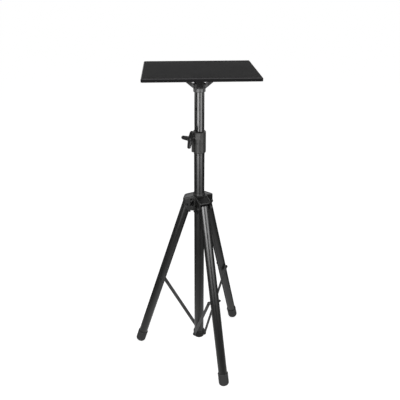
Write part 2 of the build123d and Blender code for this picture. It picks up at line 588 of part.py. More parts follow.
def strut_bolt(azimuth):
    """The leg's own bolt for its strut: a nut on one side, and on the other a spacer up to the strut."""
    bolt = rod(STRUT_BOLT_DIAMETER / 2, -LOWER_HUB_FLAT, LEG_RADIUS + SEAT_GAP)
    bolt += Pos(0, 0, LEG_RADIUS + SEAT_GAP) * nut_with_end(STRUT_BOLT_DIAMETER)
    tube_room = against_y(rod(LEG_RADIUS + SEAT_GAP, -LEG_DIAMETER, LEG_DIAMETER))
    bolt += rod(SPACER_DIAMETER / 2, -LOWER_HUB_FLAT, -LEG_RADIUS / 2) - tube_room
    return to_leg(azimuth, Pos(0, 0, -STRUT_PIVOT_ALONG) * along_y(bolt))


def strut(azimuth):
    """A flat bar with round ends, beside the plane of its leg."""
    bar = Pos(0, 0, STRUT_LENGTH / 2) * Box(STRUT_WIDTH, STRUT_THICKNESS, STRUT_LENGTH)
    eye = along_y(rod(STRUT_WIDTH / 2, -STRUT_THICKNESS / 2, STRUT_THICKNESS / 2))
    hole = along_y(rod(STRUT_BOLT_DIAMETER / 2 + PIN_CLEARANCE, -STRUT_THICKNESS, STRUT_THICKNESS))
    for height in (0, STRUT_LENGTH):
        bar += Pos(0, 0, height) * eye
    for height in (0, STRUT_LENGTH):
        bar -= Pos(0, 0, height) * hole
    return to_strut(azimuth, Pos(0, -(STRUT_INNER + STRUT_OUTER) / 2, 0) * bar)


def strut_rivet(azimuth):
    """The head that shows on a strut's outer face at its upper pivot, with its shank in the strut."""
    rivet = rod(STRUT_BOLT_DIAMETER / 2, STRUT_INNER, STRUT_OUTER)
    rivet += Pos(0, 0, STRUT_OUTER) * bolt_head(STRUT_BOLT_DIAMETER)
    return to_strut(azimuth, Pos(0, 0, STRUT_LENGTH) * against_y(rivet))


def to_hub_pivot(azimuth, shape):
    """Moves a piece made along +Z so that it points out of a flat of the lower hub, at a strut's pivot."""
    return Rot(0, 0, azimuth) * Pos(HUB_PIVOT_RADIUS, 0, HUB_PIVOT_HEIGHT) * against_y(shape)


def hub_bolt(azimuth):
    """The bolt that a strut's lower end turns on, set in a flat of the lower hub."""
    bolt = rod(STRUT_BOLT_DIAMETER / 2, 0, STRUT_OUTER + FACE_GAP)
    bolt += Pos(0, 0, STRUT_OUTER + FACE_GAP) * bolt_head(STRUT_BOLT_DIAMETER)
    column = rod(COLUMN_RADIUS + HUB_BOLT_GAP, 0, YOKE_BOTTOM)
    return to_hub_pivot(azimuth, bolt) - column


def lower_hub():
    """The cup that closes the column's foot, with a flat for each strut."""
    top = LOWER_HUB_BOTTOM + LOWER_HUB_HEIGHT
    hub = rod(LOWER_HUB_DIAMETER / 2, LOWER_HUB_BOTTOM, top)
    hub = fillet(hub.edges().group_by(Axis.Z)[0], LOWER_HUB_ROUND)
    hub = chamfer(hub.edges().group_by(Axis.Z)[-1], LOWER_HUB_CHAMFER)
    beyond = Box(
        2 * LOWER_HUB_DIAMETER, LOWER_HUB_DIAMETER, 2 * LOWER_HUB_HEIGHT,
        align=(Align.CENTER, Align.MAX, Align.CENTER),
    )
    bolt_hole = rod(STRUT_BOLT_DIAMETER / 2 + SEAT_GAP, 0, LOWER_HUB_DIAMETER)
    for azimuth in leg_azimuths():
        hub -= Rot(0, 0, azimuth) * Pos(0, -LOWER_HUB_FLAT, (LOWER_HUB_BOTTOM + top) / 2) * beyond
        hub -= to_hub_pivot(azimuth, bolt_hole)
    return hub - rod(COLUMN_RADIUS + SEAT_GAP, LOWER_HUB_BOTTOM + LOWER_HUB_FLOOR, top + OVERCUT)


def pieces():
    """Every node's name and solid."""
    made = {
        "tray_board": tray_board(),
        "tray_bracket": tray_bracket(),
        "mast_tube": mast_tube(),
        "column_tube": column_tube(),
        "height_collar": height_collar(),
        "knob_wing": knob_wing(),
        "knob_screw": knob_screw(),
        "yoke": yoke(),
        "yoke_bush": yoke_bush(),
        "lock_knob": lock_knob(),
        "lock_screw": lock_screw(),
        "lower_hub": lower_hub(),
    }
    for k, azimuth in enumerate(bracket_azimuths(), 1):
        made[f"bracket_screw_{k}"] = bracket_screw(azimuth)
    for k, azimuth in enumerate(leg_azimuths(), 1):
        made[f"pivot_bolt_{k}"] = pivot_bolt(azimuth)
        made[f"leg_tube_{k}"] = leg_tube(azimuth)
        made[f"leg_plug_{k}"] = leg_plug(azimuth)
        made[f"foot_{k}"] = foot(azimuth)
        made[f"strut_bolt_{k}"] = strut_bolt(azimuth)
        made[f"strut_{k}"] = strut(azimuth)
        made[f"strut_rivet_{k}"] = strut_rivet(azimuth)
        made[f"hub_bolt_{k}"] = hub_bolt(azimuth)
    return made


def main():
    os.makedirs("parts", exist_ok=True)
    for name, solid in pieces().items():
        export_step(solid, f"parts/{name}.step")


main()
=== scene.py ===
"""Looks of a portable projector stand: its finishes, its small trim and the stage it is pictured on.

Laid out as a Blender add-on and run as a script. Metres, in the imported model's own frame.
"""

import json
import math

import bmesh
import bpy
from mathutils import Matrix, Vector


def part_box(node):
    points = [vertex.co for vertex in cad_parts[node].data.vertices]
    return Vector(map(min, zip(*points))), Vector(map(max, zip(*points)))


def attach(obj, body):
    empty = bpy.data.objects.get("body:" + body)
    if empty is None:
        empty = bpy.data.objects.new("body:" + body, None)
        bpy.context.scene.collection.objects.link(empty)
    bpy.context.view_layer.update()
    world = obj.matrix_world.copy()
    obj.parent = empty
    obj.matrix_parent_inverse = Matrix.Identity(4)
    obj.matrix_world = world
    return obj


bl_info = {
    "name": "Projector Stand",
    "version": (1, 0, 0),
    "blender": (4, 5, 0),
    "location": "3D View > Sidebar > Stand",
    "description": "Finishes, small trim and a stage for a folding projector stand",
    "category": "Object",
}

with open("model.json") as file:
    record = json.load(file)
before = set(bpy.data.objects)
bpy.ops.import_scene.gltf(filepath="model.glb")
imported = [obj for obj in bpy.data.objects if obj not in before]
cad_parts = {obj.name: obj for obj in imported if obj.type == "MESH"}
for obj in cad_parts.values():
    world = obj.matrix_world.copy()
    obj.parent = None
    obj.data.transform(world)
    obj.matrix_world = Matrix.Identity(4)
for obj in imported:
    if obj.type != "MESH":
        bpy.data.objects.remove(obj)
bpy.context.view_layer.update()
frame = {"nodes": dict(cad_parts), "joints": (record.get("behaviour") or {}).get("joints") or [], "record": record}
NODE_SLOTS = {entry["node"]: entry["material_slot"] for entry in frame["record"]["subparts"]}
JOINTS = {joint["name"]: joint for joint in frame["joints"]}
LEG_NUMBERS = (1, 2, 3)
REACH_BEHIND = 0.1  # how far behind a rivet its line is measured from
KNOB_FACE_SHARE = 0.25  # part of the clamp knob's reach that its hub's face covers
WASHER_HOLE_SHARE = 0.6  # least hole of a washer, as part of its bolt's head
WASHER_BEVEL_SHARE = 1 / 3  # broken edge of a washer, as part of its thickness
RIM_SINK_SHARE = 0.25  # part of a foot rim's thickness by which its middle lies inside the foot
CAP_OUTLINE = (
    (0.02, 0.0), (1.0, 0.0), (1.0, 0.6), (0.9, 1.0), (0.72, 1.0), (0.6, 0.55), (0.02, 0.45),
)  # shares of the knob cap's radius and height, from its middle out and back
ROUND_STEPS = 48  # flats round a turned piece or a level card
BEAD_STEPS = 10  # flats round the section of a bead
WALL_STEPS = 32  # flats along an upright card
SHARP_ANGLE = math.radians(35.0)  # edges of the trim that turn further stay sharp
BEVEL_SAMPLES = 4
EDGE_BAND = (0.02, 0.25)  # lean of the rounded normal at which wear starts and is full
CORE_BAND = (0.025, 0.032)  # distance from the column's axis over which the bracket's socket ends
WHITE = (1.0, 1.0, 1.0)
SENSOR_WIDTH = 36.0  # millimetres
FLOOR_REACH = 60.0  # half of the floor's side
FLOOR_PAINT = 0.8  # part of the light that the floor sends on to the stand
FLOOR_SHADED = 0.6  # part of the floor's white that shadows can take away
FLAG_LIFT = 0.0005  # floor to the front card, and front card to back card
FRONT_FADE = (0.2, 0.75)  # distances from the stand's foot over which the grey card changes level
FINISHES = {}


class Wire:
    """An output socket of a shader tree, usable in Python expressions."""

    def __init__(self, tree, socket=None):
        self.tree = tree
        self.socket = socket

    def node(self, kind, settings, sockets, output=0):
        """Adds a node, applies its settings, fills or links its sockets and gives one output."""
        made = self.tree.nodes.new(kind)
        for name, value in settings.items():
            setattr(made, name, value)
        for key, value in sockets.items():
            if isinstance(value, Wire):
                self.tree.links.new(value.socket, made.inputs[key])
            else:
                made.inputs[key].default_value = value
        return Wire(self.tree, made.outputs[output] if made.outputs else None)

    def maths(self, operation, first, second=0.0):
        return self.node("ShaderNodeMath", {"operation": operation}, {0: first, 1: second})

    def __add__(self, other):
        return self.maths("ADD", self, other)

    __radd__ = __add__

    def __sub__(self, other):
        return self.maths("SUBTRACT", self, other)

    def __rsub__(self, other):
        return self.maths("SUBTRACT", other, self)

    def __mul__(self, other):
        return self.maths("MULTIPLY", self, other)

    __rmul__ = __mul__

    def between(self, low, high):
        """0 below low, 1 above high and a straight slope between them."""
        return self.node("ShaderNodeMapRange", {"clamp": True}, {0: self, 1: low, 2: high, 3: 0.0, 4: 1.0})

    def mix(self, first, second):
        """The colour that goes from first to second as this value goes from 0 to 1."""
        return self.node("ShaderNodeMix", {"data_type": "RGBA"}, {0: self, 6: first, 7: second}, 2)


def rgba(colour, level=1.0):
    """A colour property as the four numbers of a colour socket, made lighter or darker by level."""
    return (colour[0] * level, colour[1] * level, colour[2] * level, 1.0)


def new_finish(name):
    """An empty material, and a wire that adds nodes to it."""
    material = bpy.data.materials.new(name)
    material.use_nodes = True
    material.node_tree.nodes.clear()
    return material, Wire(material.node_tree)


def close_finish(wire, sockets):
    """Adds the surface shader with those sockets and joins it to the material's output."""
    surface = wire.node("ShaderNodeBsdfPrincipled", {}, sockets)
    wire.node("ShaderNodeOutputMaterial", {}, {"Surface": surface})


def noise(wire, place, grain, detail=2.0):
    """Clouds whose features are about one grain wide."""
    return wire.node("ShaderNodeTexNoise", {}, {"Vector": place, "Scale": 1.0 / grain, "Detail": detail})


def on_piece(wire):
    """Where a point lies in its piece's own frame."""
    return wire.node("ShaderNodeTexCoord", {}, {}, "Object")


def shades(cloud, colour, low, high):
    """A colour that goes with a cloud between two levels of itself."""
    return cloud.mix(rgba(colour, low), rgba(colour, high))


def uneven(middle, cloud, span):
    """A number that goes with a cloud over a span about its middle."""
    return middle + span * (cloud - 0.5)


def relief(wire, height, strength, depth, normal=None):
    """Fine relief as a normal, on another normal where one is given."""
    sockets = {"Strength": strength, "Distance": depth, "Height": height}
    if normal is not None:
        sockets["Normal"] = normal
    return wire.node("ShaderNodeBump", {}, sockets)


def edge_of(wire, reach):
    """A rounded normal and a mask that rises to 1 along sharp edges."""
    rounded = wire.node("ShaderNodeBevel", {"samples": BEVEL_SAMPLES}, {"Radius": reach})
    true = wire.node("ShaderNodeNewGeometry", {}, {}, "Normal")
    same = wire.node("ShaderNodeVectorMath", {"operation": "DOT_PRODUCT"}, {0: rounded, 1: true}, "Value")
    return rounded, (1.0 - same).between(*EDGE_BAND)


def powder_coat(name, look):
    """Semi-gloss black powder coat on tube: an orange peel, and faint mottling from handling."""
    material, wire = new_finish(name)
    place = on_piece(wire)
    peel = noise(wire, place, grain=look.tube_peel)
    mottle = noise(wire, place, grain=0.035, detail=4.0)
    fleck = noise(wire, place, grain=0.0035).between(low=0.55, high=0.72)
    colour = shades(mottle, look.tube_colour, low=0.75, high=1.3)
    colour = (fleck * 0.35).mix(colour, rgba(look.tube_colour, level=3.2))
    close_finish(wire, {
        "Base Color": colour,
        "Roughness": uneven(look.tube_roughness, mottle, span=0.12) + 0.06 * fleck,
        "Normal": relief(wire, peel, strength=0.12, depth=0.0003),
        "IOR": 1.5, "Coat Weight": 1.0, "Coat Roughness": 0.22, "Coat IOR": 1.6,
    })
    return material


def tray_coat(name, look):
    """Matte black film on board: a fine leather grain, and a painted highlight on the rounded upper edge."""
    material, wire = new_finish(name)
    place = on_piece(wire)
    grain = noise(wire, place, grain=0.0016, detail=3.0)
    cloud = noise(wire, place, grain=0.09, detail=3.0)
    facing = wire.node("ShaderNodeNewGeometry", {}, {}, "True Normal")
    upward = wire.node("ShaderNodeSeparateXYZ", {}, {0: facing}, "Z")
    # Faces that turn between up and front: the rounded upper edge, where a highlight line is painted.
    edge = upward.between(low=0.3, high=0.55) * (1.0 - upward.between(low=0.93, high=0.99))
    colour = shades(cloud, look.tray_colour, low=0.85, high=1.15)
    # Painted highlight: that edge's colour made twelve times lighter, broken up by the grain.
    colour = (edge * (0.5 + 0.5 * grain)).mix(colour, rgba(look.tray_colour, level=12.0))
    close_finish(wire, {
        "Base Color": colour,
        "Roughness": uneven(look.tray_roughness, cloud, span=0.1) - 0.25 * edge,
        "Normal": relief(wire, grain, strength=0.2, depth=0.0003),
        "IOR": 1.45, "Specular IOR Level": 0.15, "Coat Weight": edge * 0.6, "Coat Roughness": 0.4,
    })
    return material


def moulded(name, colour, roughness, core=None):
    """Satin moulded plastic: spark-eroded grain, rubbed edges, and a glossier core if one is given."""
    material, wire = new_finish(name)
    place = on_piece(wire)
    grain = noise(wire, place, grain=0.0011)
    cloud = noise(wire, place, grain=0.025, detail=3.0)
    rounded, edge = edge_of(wire, reach=0.0012)
    shade = shades(cloud, colour, low=0.85, high=1.15)
    gloss = 0.0
    if core is not None:
        level = wire.node("ShaderNodeVectorMath", {"operation": "MULTIPLY"}, {0: place, 1: (1.0, 1.0, 0.0)})
        away = wire.node("ShaderNodeVectorMath", {"operation": "LENGTH"}, {0: level}, "Value")
        outside = away.between(*CORE_BAND)
        shade = outside.mix(rgba(core), shade)
        gloss = 1.0 - outside
    shade = (edge * 0.45).mix(shade, rgba(colour, level=2.0))
    close_finish(wire, {
        "Base Color": shade,
        "Roughness": uneven(roughness, cloud, span=0.12),
        "Normal": relief(wire, grain, strength=0.15, depth=0.00025, normal=rounded),
        "IOR": 1.5, "Coat Weight": gloss, "Coat Roughness": 0.45, "Coat IOR": 1.75,
    })
    return material


def flat_steel(name, colour, roughness, metal):
    """Painted or plated steel: a fine grain, and paint worn thin along the edges."""
    material, wire = new_finish(name)
    place = on_piece(wire)
    scratch = noise(wire, place, grain=0.0007, detail=1.0)
    cloud = noise(wire, place, grain=0.02, detail=3.0)
    rounded, edge = edge_of(wire, reach=0.0006)
    shade = shades(cloud, colour, low=0.8, high=1.2)
    shade = (edge * 0.4).mix(shade, rgba(colour, level=2.2))
    close_finish(wire, {
        "Base Color": shade,
        "Metallic": metal,
        "Roughness": uneven(roughness, cloud, span=0.15),
        "Normal": relief(wire, scratch, strength=0.1, depth=0.0002, normal=rounded),
    })
    return material


def foot_rubber(name, look):
    """Dark rubber: matte, with a dusty bloom that gathers towards the floor."""
    material, wire = new_finish(name)
    place = on_piece(wire)
    height = wire.node("ShaderNodeSeparateXYZ", {}, {0: place}, "Z")
    grain = noise(wire, place, grain=0.0014)
    cloud = noise(wire, place, grain=0.012, detail=3.0)
    dust = (1.0 - height.between(low=0.0, high=0.018)) * cloud
    shade = shades(cloud, look.rubber_colour, low=0.85, high=1.15)
    shade = (dust * 0.5).mix(shade, rgba(look.rubber_colour, level=3.0))
    close_finish(wire, {
        "Base Color": shade,
        "Roughness": uneven(look.rubber_roughness, cloud, span=0.15),
        "Normal": relief(wire, grain, strength=0.2, depth=0.0003),
    })
    return material


def coat_node(node, material):
    """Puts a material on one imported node."""
    slots = frame["nodes"][node].data.materials
    slots.clear()
    slots.append(material)


def give_finish(slot, material):
    """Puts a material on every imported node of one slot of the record, and keeps it for that slot's trim."""
    FINISHES[slot] = material
    for node, its_slot in NODE_SLOTS.items():
        if its_slot == slot:
            coat_node(node, material)


def lathe(outline):
    """A bmesh of a closed outline of (radius, height) points, turned round the Z axis."""
    shape = bmesh.new()
    rows = []
    for k in range(ROUND_STEPS):
        turn = 2 * math.pi * k / ROUND_STEPS
        rows.append([shape.verts.new((r * math.cos(turn), r * math.sin(turn), z)) for r, z in outline])
    for k in range(ROUND_STEPS):
        row, following = rows[k - 1], rows[k]
        for m in range(len(outline)):
            shape.faces.new((row[m - 1], following[m - 1], following[m], row[m]))
    bmesh.ops.recalc_face_normals(shape, faces=shape.faces[:])
    return shape


def washer(inner, outer, thickness):
    """A flat ring on the origin with its outer edges broken."""
    bevel = thickness * WASHER_BEVEL_SHARE
    return lathe([
        (inner, 0.0), (outer, 0.0), (outer, thickness - bevel), (outer - bevel, thickness),
        (inner, thickness),
    ])


def bead(radius, thickness):
    """A ring of round section about the origin."""
    turns = [2 * math.pi * k / BEAD_STEPS for k in range(BEAD_STEPS)]
    return lathe([(radius + thickness / 2 * math.cos(a), thickness / 2 * math.sin(a)) for a in turns])


def dished_cap(radius, height):
    """A cap with a rounded rim and a shallow dish."""
    return lathe([(r * radius, z * height) for r, z in CAP_OUTLINE])


def add_trim(context, name, shape, slot, body, centre, axis):
    """A small piece made along +Z, set at a centre with +Z along an axis, that rides on a body."""
    mesh = bpy.data.meshes.new(name)
    shape.to_mesh(mesh)
    shape.free()
    for face in mesh.polygons:
        face.use_smooth = True
    mesh.set_sharp_from_angle(angle=SHARP_ANGLE)
    mesh.materials.append(FINISHES[slot])
    piece = bpy.data.objects.new(name, mesh)
    context.scene.collection.objects.link(piece)
    turn = Vector(axis).to_track_quat("Z", "Y").to_matrix().to_4x4()
    piece.matrix_world = Matrix.Translation(centre) @ turn
    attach(piece, body)


def along_and_out(node, centre, axis):
    """Each corner of a node's mesh as its place along an axis through a centre and its distance from it."""
    places = []
    for vertex in frame["nodes"][node].data.vertices:
        arm = vertex.co - centre
        along = arm.dot(axis)
        places.append((along, (arm - along * axis).length))
    return places


def joint_line(name):
    """The point and the direction of a joint's axis."""
    joint = JOINTS[name]
    return Vector(joint["pos_m"]), Vector(joint["axis"])


def leg_line(number):
    """The pivot of a leg and the direction down its tube."""
    pivot, _ = joint_line(f"leg_fold_{number}")
    corners = frame["nodes"][f"leg_tube_{number}"].data.vertices
    centroid = sum((vertex.co for vertex in corners), Vector()) / len(corners)
    return pivot, (centroid - pivot).normalized()


class StandLook(bpy.types.PropertyGroup):
    """Colours and finishes of the stand."""

    tube_colour: bpy.props.FloatVectorProperty(
        name="Tube colour", description="Powder coat of the column, the mast and the legs",
        default=(0.006, 0.006, 0.0057), subtype="COLOR", min=0.0, max=1.0)
    tube_roughness: bpy.props.FloatProperty(
        name="Tube roughness", description="0 is a mirror and 1 is chalk", default=0.34, min=0.0, max=1.0,
        subtype="FACTOR")
    tube_peel: bpy.props.FloatProperty(
        name="Orange peel", description="Width of one dimple of the powder coat", default=0.0012,
        unit="LENGTH")
    tray_colour: bpy.props.FloatVectorProperty(
        name="Tray colour", description="Film on the tray's board",
        default=(0.0095, 0.0092, 0.0098), subtype="COLOR", min=0.0, max=1.0)
    tray_roughness: bpy.props.FloatProperty(
        name="Tray roughness", description="0 is a mirror and 1 is chalk", default=0.75, min=0.0, max=1.0,
        subtype="FACTOR")
    moulded_colour: bpy.props.FloatVectorProperty(
        name="Moulding colour", description="Plastic of the yoke, the hub and the plugs",
        default=(0.0055, 0.0055, 0.0053), subtype="COLOR", min=0.0, max=1.0)
    collar_colour: bpy.props.FloatVectorProperty(
        name="Collar colour", description="Plastic of the clamp collar",
        default=(0.03, 0.03, 0.0285), subtype="COLOR", min=0.0, max=1.0)
    bracket_colour: bpy.props.FloatVectorProperty(
        name="Bracket colour", description="Arms of the bracket under the tray",
        default=(0.012, 0.012, 0.012), subtype="COLOR", min=0.0, max=1.0)
    socket_colour: bpy.props.FloatVectorProperty(
        name="Socket colour", description="Socket in the middle of that bracket",
        default=(0.025, 0.025, 0.025), subtype="COLOR", min=0.0, max=1.0)
    moulded_roughness: bpy.props.FloatProperty(
        name="Moulding roughness", description="0 is a mirror and 1 is chalk", default=0.42, min=0.0,
        max=1.0, subtype="FACTOR")
    knob_colour: bpy.props.FloatVectorProperty(
        name="Knob colour", description="Plastic of the hand knobs",
        default=(0.009, 0.009, 0.009), subtype="COLOR", min=0.0, max=1.0)
    strut_colour: bpy.props.FloatVectorProperty(
        name="Strut colour", description="Paint of the flat struts",
        default=(0.05, 0.05, 0.05), subtype="COLOR", min=0.0, max=1.0)
    fastener_colour: bpy.props.FloatVectorProperty(
        name="Fastener colour", description="Bolts, nuts and rivets",
        default=(0.03, 0.03, 0.03), subtype="COLOR", min=0.0, max=1.0)
    screw_colour: bpy.props.FloatVectorProperty(
        name="Clamp screw colour", description="Plated screws of the hand knobs",
        default=(0.5, 0.5, 0.5), subtype="COLOR", min=0.0, max=1.0)
    rubber_colour: bpy.props.FloatVectorProperty(
        name="Foot colour", description="Rubber of the feet",
        default=(0.032, 0.032, 0.033), subtype="COLOR", min=0.0, max=1.0)
    rubber_roughness: bpy.props.FloatProperty(
        name="Foot roughness", description="0 is a mirror and 1 is chalk", default=0.62, min=0.0, max=1.0,
        subtype="FACTOR")


class StandTrim(bpy.types.PropertyGroup):
    """Sizes of the small trim."""

    washer_thickness: bpy.props.FloatProperty(
        name="Washer thickness", description="Thickness of the washers under bolt heads", default=0.0012,
        unit="LENGTH", min=0.0002)
    washer_margin: bpy.props.FloatProperty(
        name="Washer margin", description="How far a washer stands out round its bolt's head",
        default=0.0016, unit="LENGTH", min=0.0)
    rim_thickness: bpy.props.FloatProperty(
        name="Foot rim", description="Thickness of the rolled rim of a rubber foot", default=0.0024,
        unit="LENGTH", min=0.0002)
    rim_drop: bpy.props.FloatProperty(
        name="Foot rim drop", description="Mouth of a foot to its rolled rim", default=0.0016, unit="LENGTH")
    knob_cap_radius: bpy.props.FloatProperty(
        name="Knob cap", description="Radius of the cap on the clamp knob's hub", default=0.0062,
        unit="LENGTH")
    knob_cap_height: bpy.props.FloatProperty(
        name="Knob cap height", description="Height of that cap", default=0.00124, unit="LENGTH")
    guide_ring_drop: bpy.props.FloatProperty(
        name="Guide ring drop", description="Collar to the ring under it", default=0.0045, unit="LENGTH")
    guide_ring_thickness: bpy.props.FloatProperty(
        name="Guide ring", description="Thickness of the ring under the collar", default=0.0014,
        unit="LENGTH")


class StandStage(bpy.types.PropertyGroup):
    """Camera, lamps and floor."""

    eye: bpy.props.FloatVectorProperty(
        name="Eye", description="Where the camera stands", default=(-0.1074, -1.7829, 1.5016),
        subtype="TRANSLATION", unit="LENGTH")
    yaw: bpy.props.FloatProperty(
        name="Yaw", description="Turn of the camera from +Y towards +X",
        default=math.radians(3.54), subtype="ANGLE")
    pitch: bpy.props.FloatProperty(
        name="Pitch", description="How far the camera looks down", default=math.radians(24.82),
        subtype="ANGLE")
    roll: bpy.props.FloatProperty(
        name="Roll", description="Tilt of the picture", default=math.radians(0.14), subtype="ANGLE")
    lens: bpy.props.FloatProperty(
        name="Lens", description="Focal length in millimetres on a 36 mm sensor", default=47.73,
        unit="CAMERA")
    panel_radiance: bpy.props.FloatProperty(
        name="Panel brightness", description="Radiance of the left soft panel", default=5.2, min=0.0)
    panel_distance: bpy.props.FloatProperty(
        name="Panel distance", description="Column to the side panels", default=1.0, unit="LENGTH")
    panel_span: bpy.props.FloatProperty(
        name="Panel span", description="Angle that a side panel covers, seen from the column",
        default=math.radians(38.0), subtype="ANGLE")
    panel_head: bpy.props.FloatProperty(
        name="Panel head", description="Upper edge of the side panels", default=1.0, unit="LENGTH")
    panel_waist: bpy.props.FloatProperty(
        name="Panel waist", description="Height under which the side panels are dimmer", default=0.52,
        unit="LENGTH")
    panel_foot: bpy.props.FloatProperty(
        name="Panel foot", description="Lower edge of the side panels", default=0.27, unit="LENGTH")
    low_share: bpy.props.FloatProperty(
        name="Low share", description="Brightness under the panels' waist, as part of that over it",
        default=0.26, min=0.0, max=1.0, subtype="FACTOR")
    left_azimuth: bpy.props.FloatProperty(
        name="Left panel", description="Direction of the left panel, from +X towards +Y",
        default=math.radians(-118.0), subtype="ANGLE")
    right_azimuth: bpy.props.FloatProperty(
        name="Right panel", description="Direction of the right panel, from +X towards +Y",
        default=math.radians(-51.0), subtype="ANGLE")
    right_share: bpy.props.FloatProperty(
        name="Right share", description="Brightness of the right panel, as part of the left one's",
        default=0.62, min=0.0, max=1.0, subtype="FACTOR")
    top_place: bpy.props.FloatVectorProperty(
        name="Top panel", description="Middle of the panel over the stand", default=(0.0, 0.4, 2.8),
        subtype="TRANSLATION", unit="LENGTH")
    top_aim: bpy.props.FloatVectorProperty(
        name="Top panel's aim", description="Point that the panel over the stand faces",
        default=(0.0, 0.0, 0.8), subtype="TRANSLATION", unit="LENGTH")
    top_size: bpy.props.FloatProperty(
        name="Top panel's side", description="Side of the square panel over the stand", default=2.0,
        unit="LENGTH")
    top_radiance: bpy.props.FloatProperty(
        name="Top brightness", description="Radiance of the panel over the stand", default=0.5, min=0.0)
    ambient: bpy.props.FloatProperty(
        name="Ambient", description="Light from all sides", default=0.42, min=0.0)
    flag_radius: bpy.props.FloatProperty(
        name="Flag distance", description="Column to the dark cards", default=2.6, unit="LENGTH")
    flag_height: bpy.props.FloatProperty(
        name="Flag height", description="Height of the dark cards", default=1.1, unit="LENGTH")
    flag_level: bpy.props.FloatProperty(
        name="Flag level", description="Brightness of the dark cards", default=0.02, min=0.0)
    front_near: bpy.props.FloatProperty(
        name="Front flag, near", description="Brightness of the grey card at the stand", default=0.42,
        min=0.0)
    front_far: bpy.props.FloatProperty(
        name="Front flag, far", description="Brightness of the grey card away from the stand", default=0.1,
        min=0.0)
    back_border: bpy.props.FloatProperty(
        name="Back flag border", description="Column to the front edge of the dark card behind",
        default=0.2, unit="LENGTH")
    back_height: bpy.props.FloatProperty(
        name="Back flag height", description="Height of the dark card behind", default=0.45, unit="LENGTH")
    overhead_radius: bpy.props.FloatProperty(
        name="Overhead flag", description="Radius of the dark card over the stand", default=1.5,
        unit="LENGTH")
    overhead_height: bpy.props.FloatProperty(
        name="Overhead flag height", description="Floor to the dark card over the stand", default=2.4,
        unit="LENGTH")


class STAND_OT_tubes(bpy.types.Operator):
    """Powder-coat the column, the mast and the legs"""

    bl_idname = "stand.tubes"
    bl_label = "Tubes"

    def execute(self, context):
        give_finish("black_tube", powder_coat("black powder coat", context.scene.stand_look))
        return {"FINISHED"}


class STAND_OT_tray(bpy.types.Operator):
    """Cover the tray's board"""

    bl_idname = "stand.tray"
    bl_label = "Tray"

    def execute(self, context):
        give_finish("tray", tray_coat("matte black film", context.scene.stand_look))
        return {"FINISHED"}


class STAND_OT_mouldings(bpy.types.Operator):
    """Finish the collar, the yoke, the bracket, the hub and the plugs"""

    bl_idname = "stand.mouldings"
    bl_label = "Mouldings"

    def execute(self, context):
        look = context.scene.stand_look
        plastic = moulded("grained plastic", look.moulded_colour, look.moulded_roughness)
        give_finish("moulded_plastic", plastic)
        collar = moulded("satin collar plastic", look.collar_colour, look.moulded_roughness)
        coat_node("height_collar", collar)
        bracket = moulded(
            "bracket plastic", look.bracket_colour, look.moulded_roughness, core=look.socket_colour
        )
        coat_node("tray_bracket", bracket)
        return {"FINISHED"}


class STAND_OT_knobs(bpy.types.Operator):
    """Finish the two hand knobs and their screws"""

    bl_idname = "stand.knobs"
    bl_label = "Knobs"

    def execute(self, context):
        look = context.scene.stand_look
        plastic = moulded("black knob plastic", look.knob_colour, roughness=0.38)
        give_finish("knob_plastic", plastic)
        zinc = flat_steel("bright zinc", look.screw_colour, roughness=0.32, metal=1.0)
        give_finish("plain_steel", zinc)
        return {"FINISHED"}


class STAND_OT_struts(bpy.types.Operator):
    """Paint the struts, the bolts and the rivets"""

    bl_idname = "stand.struts"
    bl_label = "Struts and fasteners"

    def execute(self, context):
        look = context.scene.stand_look
        paint = flat_steel("dark strut paint", look.strut_colour, roughness=0.42, metal=0.0)
        give_finish("strut_steel", paint)
        oxide = flat_steel("black oxide", look.fastener_colour, roughness=0.4, metal=0.3)
        give_finish("black_fastener", oxide)
        return {"FINISHED"}


class STAND_OT_feet(bpy.types.Operator):
    """Finish the rubber feet"""

    bl_idname = "stand.feet"
    bl_label = "Feet"

    def execute(self, context):
        give_finish("foot_rubber", foot_rubber("dark rubber", context.scene.stand_look))
        return {"FINISHED"}


class STAND_OT_washers(bpy.types.Operator):
    """Set washers under the heads and nuts of the pivots"""

    bl_idname = "stand.washers"
    bl_label = "Washers"

    def set_washers(self, context, node, body, centre, axis):
        """A washer under each head or nut of one bolt, where its shank widens."""
        sizes = context.scene.stand_trim
        places = along_and_out(node, centre, axis)
        shank = min(out for _, out in places)
        head = max(out for _, out in places)
        wide = [along for along, out in places if out > (shank + head) / 2]
        for side, seats in ((1, [a for a in wide if a > 0]), (-1, [a for a in wide if a < 0])):
            if seats:
                seat = side * min(abs(a) for a in seats)
                hole = max(shank, WASHER_HOLE_SHARE * head)
                shape = washer(hole, head + sizes.washer_margin, sizes.washer_thickness)
                name = f"washer_{node}_{'nut' if side > 0 else 'head'}"
                add_trim(context, name, shape, "black_fastener", body, centre + seat * axis, side * axis)

    def execute(self, context):
        for number in LEG_NUMBERS:
            pivot, axis = joint_line(f"leg_fold_{number}")
            self.set_washers(context, f"pivot_bolt_{number}", "fork", pivot, axis)
            foot_pivot, _ = joint_line(f"brace_fold_{number}")
            self.set_washers(context, f"hub_bolt_{number}", "pole", foot_pivot, axis)
            low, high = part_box(f"strut_rivet_{number}")
            behind = (low + high) / 2 + REACH_BEHIND * axis
            self.set_washers(context, f"strut_rivet_{number}", f"brace_{number}", behind, axis)
        return {"FINISHED"}


